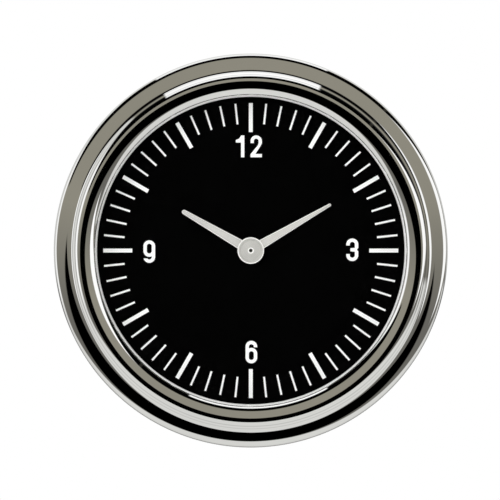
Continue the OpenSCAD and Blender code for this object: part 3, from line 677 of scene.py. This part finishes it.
def make_knob():
    """The set knob: a ribbed grip, dished at the back, on a plain skirt."""
    ribs, skirt_r = 30, 2.4
    z0, z1 = depth("set_knob")
    place = face_place(JOINTS["set_knob_turn"])
    grip = knurl(radius("set_knob"), ribs, 0.5)
    skirt = z1 - 0.8
    section = ([(0, z0 + 0.4), (2.35, z0 + 0.4), (2.6, z0 + 0.3), (2.75, z0)]
               + chamfered(grip, 3.7, z0, 1) + chamfered(grip, 3.9, skirt, -1)[::-1]
               + [(skirt_r, skirt), (skirt_r, z1), (0, z1)])
    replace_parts(turned("knob_grip", section, "set_knob", ribs * 8, (place,), False, 35),
                "set_knob")


def make_rear():
    mounting = list(STUDS.values())
    studs("stud_threads", "mounting_studs", mounting, 4)
    studs("terminal_threads", "terminal_studs", TERMINALS, 3.1)
    for side in STUDS:
        make_thumb_nut(side)
    make_knob()
    hex_nuts("clamp_nuts", "terminal_clamp_nuts")
    hex_nuts("lead_nuts", "terminal_lead_nuts")
    washers("lead_washers", "terminal_washers", TERMINALS, BORE_R, 4)
    washers("fibre_washers", "terminal_insulators", TERMINALS, BORE_R, 4, 0.08)
    washers("strap_washers", "bracket_washers", mounting, STUD_R + 0.3, 4.6)


make_bezel()
make_front()
make_hands()
make_rear()


# ---------------------------------------------------------------- stage, light and camera

def make_floor():
    """A pale floor well below the clock."""
    half, drop = 1.6, 0.25
    mesh = bpy.data.meshes.new("floor")
    corners = [(x * half, y * half, -drop) for x, y in ((-1, -1), (1, -1), (1, 1), (-1, 1))]
    mesh.from_pydata(corners, [], [(0, 1, 2, 3)])
    floor = bpy.data.objects.new("floor", mesh)
    bpy.context.scene.collection.objects.link(floor)
    look = Look("floor_pale", (0.86, 0.86, 0.85), 0.8)
    look.rough(look.noise(20, 3), 0.7, 0.9)
    mesh.materials.append(look.material)
    floor.visible_glossy = False


def make_light(name, place, aim, power):
    """A soft square light, which shiny surfaces don't show."""
    light = bpy.data.lights.new(name, "AREA")
    light.energy = power
    light.size = 0.4
    holder = bpy.data.objects.new(name, light)
    holder.location = place
    holder.rotation_euler = (Vector(aim) - Vector(place)).to_track_quat("-Z", "Y").to_euler()
    holder.visible_glossy = False
    bpy.context.scene.collection.objects.link(holder)


class Field:
    """A number that varies with the direction looked in, built from Math nodes."""

    tree = None

    def __init__(self, socket):
        self.socket = socket

    def calc(self, operation, *others):
        made = Field.tree.nodes.new("ShaderNodeMath")
        made.operation = operation
        for slot, value in zip(made.inputs, (self, *others)):
            if isinstance(value, Field):
                Field.tree.links.new(value.socket, slot)
            else:
                slot.default_value = value
        return Field(made.outputs[0])

    def __add__(self, other):
        return self.calc("ADD", other)

    def __sub__(self, other):
        return self.calc("SUBTRACT", other)

    def __mul__(self, other):
        return self.calc("MULTIPLY", other)

    def above(self, edge, soft=1.5):
        """0 below the edge and 1 above it, blended over soft."""
        made = (self - edge) * (1 / soft) + 0.5
        made.socket.node.use_clamp = True
        return made

    def below(self, edge, soft=1.5):
        """1 below the edge and 0 above it, blended over soft."""
        return ((self - edge) * -1).above(0, soft)


GREY = (0.305, 0.29, 0.24)
DIM_GREY = (0.155, 0.15, 0.135)
SOFT_LIGHT = (0.76, 0.76, 0.74)
BRIGHT = (1.15, 1.15, 1.15)
BLACK = (0.0, 0.0, 0.0)
TENT_TONE = (0.85, 0.85, 0.84)
FLOOR_TONE = (0.40, 0.40, 0.39)
GAP_TONE = (0.10, 0.10, 0.10)
SEAM_TONE = (0.06, 0.06, 0.06)
DEGREE = math.pi / 180


def surround(tree):
    """The studio that shiny surfaces show: a tent, softboxes and a dark camera opening.

    Edges on polar, azimuth and sectors are in degrees; those on z and upness go from -1 to 1.
    """
    link = tree.links.new
    way = tree.nodes.new("ShaderNodeSeparateXYZ")
    link(tree.nodes.new("ShaderNodeTexCoord").outputs["Generated"], way.inputs[0])
    x, y, z = (Field(socket) for socket in way.outputs)
    # Degrees away from straight ahead of the dial, and clockwise from up
    polar = (y * -1).calc("ARCCOSINE") * (1 / DEGREE)
    azimuth = x.calc("ARCTAN2", z) * (1 / DEGREE)
    upness = (azimuth * DEGREE).calc("COSINE")

    def sector(first, last, soft):
        """1 between two azimuths, clockwise from the first."""
        middle, half = (first + last) / 2, (last - first) / 2
        away = ((azimuth - middle) * DEGREE).calc("COSINE").calc("ARCCOSINE") * (1 / DEGREE)
        return away.below(half, soft)

    def blend(under, over, mask):
        mix = tree.nodes.new("ShaderNodeMix")
        mix.data_type = "RGBA"
        for slot, tone in (("A", under), ("B", over)):
            if isinstance(tone, tuple):
                mix.inputs[slot].default_value = (*tone, 1)
            else:
                link(tone, mix.inputs[slot])
        link(mask.socket, mix.inputs["Factor"])
        return mix.outputs["Result"]

    # Tent behind the clock, brighter above, with a dim gap low down
    tent = blend(FLOOR_TONE, TENT_TONE, z.above(0.1, 1.3))
    tent = blend(tent, GAP_TONE, z.above(-0.32, 0.12) * z.below(-0.12, 0.12))
    front_grey = blend(DIM_GREY, GREY, upness.above(-0.04, 0.6))
    tone = blend(tent, front_grey, polar.below(97, 8))
    # Pale sweep below, which starts higher up at the sides
    rise = upness.above(-0.67, 0.66) * 18
    sweep = (polar - rise).above(60, 2.5) * polar.below(104, 8)
    tone = blend(tone, SOFT_LIGHT, sweep * sector(100, 318, 3))
    left_strip = polar.above(75, 3) * polar.below(82, 4)
    tone = blend(tone, BRIGHT, left_strip * sector(252, 305, 14))
    # Reflector on the right, widest at 3 o'clock, with dark beyond it
    tone = blend(tone, BLACK, polar.above(67, 2) * polar.below(86, 4) * sector(43, 82, 3))
    wedge = azimuth.above(60, 30) * 15 - azimuth.above(101, 26) * 16
    reflector = polar.above(67, 2) * (polar - wedge).below(67, 2)
    tone = blend(tone, BRIGHT, reflector * sector(43, 112, 4))
    # Dark gap round the top, narrower as it runs out on the left, with the softbox above it
    drop = azimuth.below(-55, 28) * 14
    gap = polar.above(67.6, 2) * (polar + drop).below(86.5, 2)
    tone = blend(tone, BLACK, gap * sector(-70, 44, 2))
    softbox = polar.above(78, 1.5) * polar.below(104, 8)
    tone = blend(tone, BRIGHT, softbox * sector(-29, 23, 0.8))
    # Thin dark seam between the panels of the tent, plainest at the sides
    seam = polar.above(82.5, 2) * polar.below(86, 2)
    shown = sector(40, 112, 8) * 0.5 + sector(-115, -60, 8) * 0.3 + 0.25
    tone = blend(tone, SEAM_TONE, seam * shown)
    # Dark opening for the camera: a wide oval, below the middle and a little to the left
    half_height, half_width = 35, 49
    across = (polar * (azimuth * DEGREE).calc("SINE") + 4) * (half_height / half_width)
    down = polar * upness * -1 - 25
    oval = (across * across + down * down).calc("SQRT")
    return blend(tone, BLACK, oval.below(half_height, 2))


def make_world():
    """White to the eye, a soft even fill for matt surfaces and the studio for shiny ones."""
    world = bpy.data.worlds.new("studio")
    bpy.context.scene.world = world
    world.use_nodes = True
    tree = Field.tree = world.node_tree
    tree.nodes.clear()
    link = tree.links.new
    mirror = tree.nodes.new("ShaderNodeBackground")
    link(surround(tree), mirror.inputs["Color"])
    soft_fill = tree.nodes.new("ShaderNodeBackground")
    soft_fill.inputs["Color"].default_value = (1, 1, 0.99, 1)
    soft_fill.inputs["Strength"].default_value = 0.95
    white = tree.nodes.new("ShaderNodeBackground")
    white.inputs["Color"].default_value = (1, 1, 1, 1)
    path = tree.nodes.new("ShaderNodeLightPath")
    lit, seen = (tree.nodes.new("ShaderNodeMixShader") for _ in range(2))
    link(path.outputs["Is Glossy Ray"], lit.inputs[0])
    link(soft_fill.outputs[0], lit.inputs[1])
    link(mirror.outputs[0], lit.inputs[2])
    link(path.outputs["Is Camera Ray"], seen.inputs[0])
    link(lit.outputs[0], seen.inputs[1])
    link(white.outputs[0], seen.inputs[2])
    link(seen.outputs[0], tree.nodes.new("ShaderNodeOutputWorld").inputs["Surface"])


def make_camera():
    """Straight on, with a long lens; frame_width is what the frame spans at the panel."""
    camera_distance, frame_width = 1.2, 0.07757
    data = bpy.data.cameras.new("camera")
    data.sensor_width = 36
    data.lens = data.sensor_width * camera_distance / frame_width
    data.clip_start = 0.01
    data.shift_x, data.shift_y = -0.00158, 0.0011
    camera = bpy.data.objects.new("camera", data)
    camera.location = (0, -camera_distance, 0)
    camera.rotation_euler = (math.radians(90), 0, 0)
    bpy.context.scene.collection.objects.link(camera)
    bpy.context.scene.camera = camera
    bpy.context.scene.view_settings.view_transform = "Standard"
    bpy.context.scene.view_settings.look = "None"


make_floor()
make_light("key", (-0.2, -0.6, 0.25), (0, 0, 0), 1.7)
make_light("rear", (0.3, 0.5, 0.35), (0, 0.03, 0), 5)
make_world()
make_camera()
